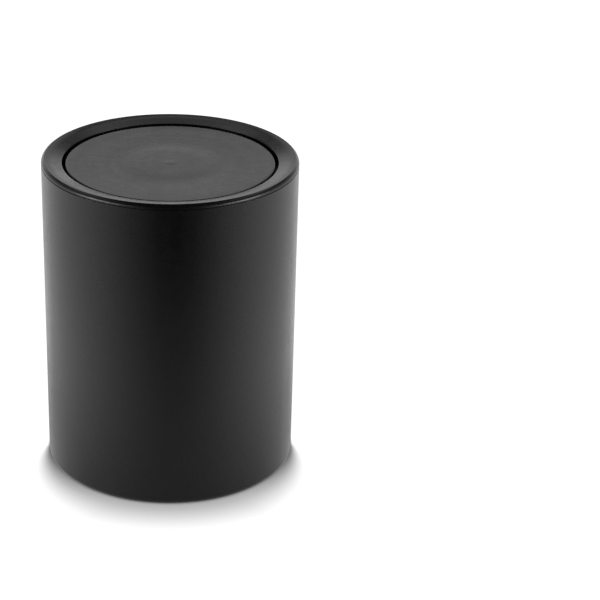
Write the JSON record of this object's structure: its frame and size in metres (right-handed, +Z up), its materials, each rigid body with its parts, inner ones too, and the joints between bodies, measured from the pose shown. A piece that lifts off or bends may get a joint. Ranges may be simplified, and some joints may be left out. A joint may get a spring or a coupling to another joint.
{
  "type": "countertop waste bin with swing lid",
  "caption": "Round countertop waste bin with a lift-off lid ring and an off-centre, counterweighted swing flap that closes by itself.",
  "frame": {"origin": "centre of the footprint, on the surface that the bin stands on", "axes": "+Z up along the bin's axis; -Y is the front; the flap's narrow side is on +X and its pivot line is parallel to Y"},
  "size_m": [0.154, 0.154, 0.196],
  "materials": {
    "bin_plastic": "black moulded plastic with a soft satin sheen",
    "lid_plastic": "black moulded plastic with a soft satin sheen",
    "flap_plastic": "black moulded plastic with a soft satin sheen",
    "zinc_steel": "plain zinc-plated steel"
  },
  "bodies": {
    "bin": {"bin_body": "bin_plastic"},
    "lid": {"lid_ring": "lid_plastic", "pivot_pin_front": "zinc_steel", "pivot_pin_rear": "zinc_steel"},
    "flap": {"flap_cover": "flap_plastic", "flap_pan": "flap_plastic", "flap_counterweight": "zinc_steel"}
  },
  "joints": [
    {"name": "lid_lift", "type": "slide", "parent": "bin", "child": "lid", "axis": [0, 0, 1], "range_m": [0, 0.1]},
    {"name": "flap_swing", "type": "hinge", "parent": "lid", "child": "flap", "pos_m": [0.017, 0, 0.1886], "axis": [0, -1, 0], "range_deg": [0, 80]}
  ]
}
